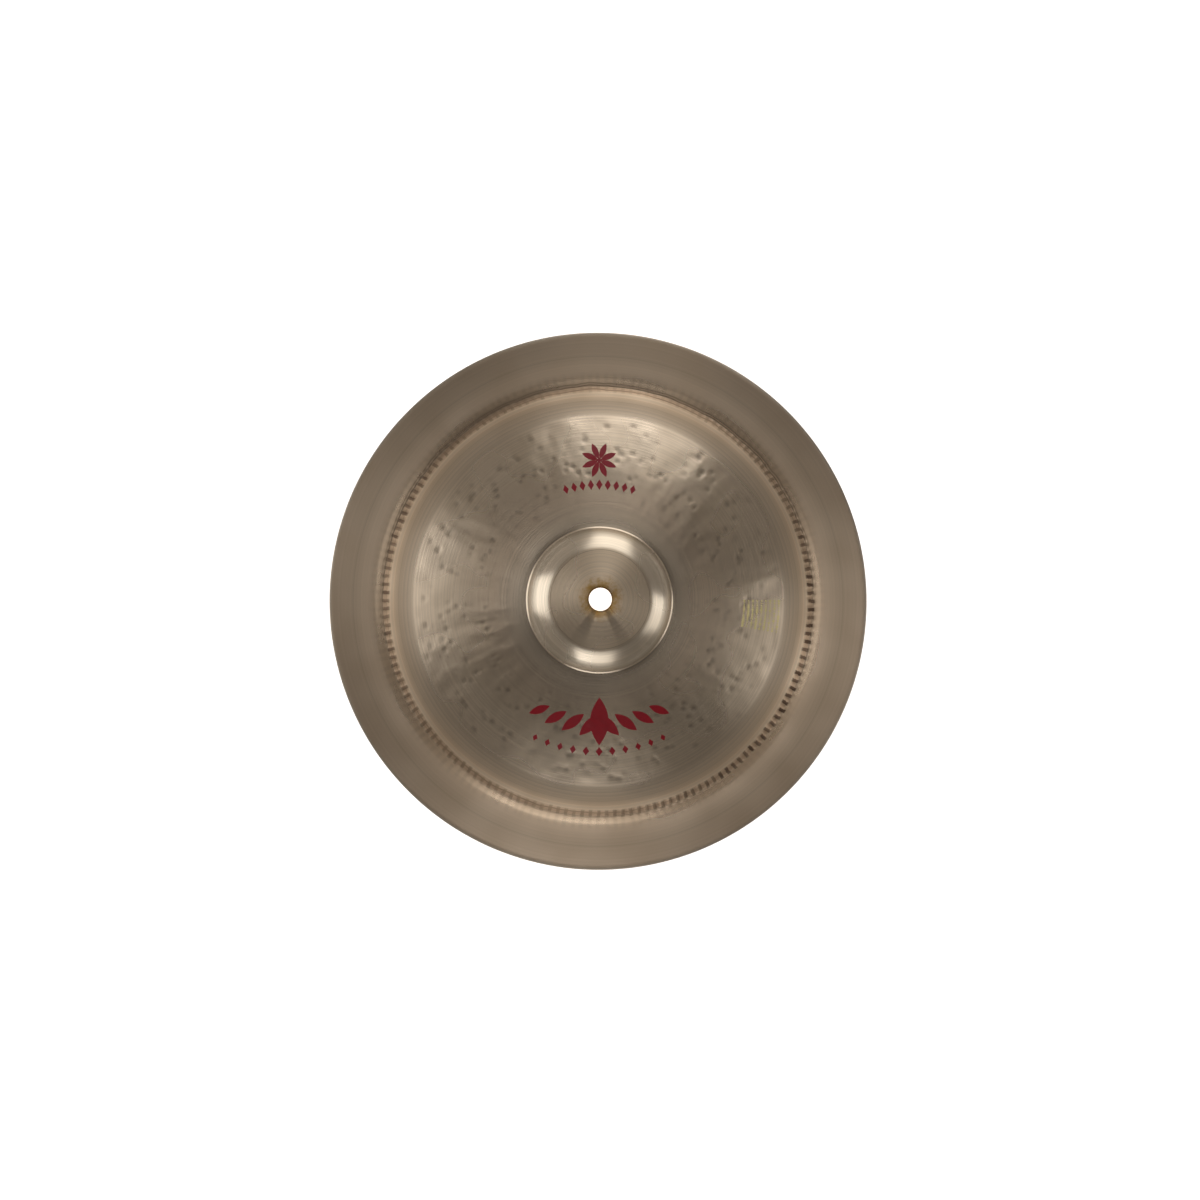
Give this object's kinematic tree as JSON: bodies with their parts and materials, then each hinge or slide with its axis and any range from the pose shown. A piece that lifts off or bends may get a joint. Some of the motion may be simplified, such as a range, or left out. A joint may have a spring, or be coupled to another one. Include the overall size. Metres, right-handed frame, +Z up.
{
  "type": "china cymbal",
  "caption": "China cymbal lying bell up: flat-topped bell, hammered and lathed bow, crimped groove and upturned flange round a centre hole.",
  "frame": {"origin": "on the centre hole's axis, in the plane that the groove's underside rests on, with the bell up", "axes": "+Z up through the bell, square to the disc; +X and +Y in the plane of the disc, +Y towards the upper ornament"},
  "size_m": [0.3048, 0.3048, 0.0266],
  "materials": {
    "bronze": "raw lathed and hammered bronze, satin, brownish gold",
    "red_ink": "screen-printed dark red ink, satin"
  },
  "bodies": {
    "root": {"cymbal": "bronze"}
  },
  "joints": []
}
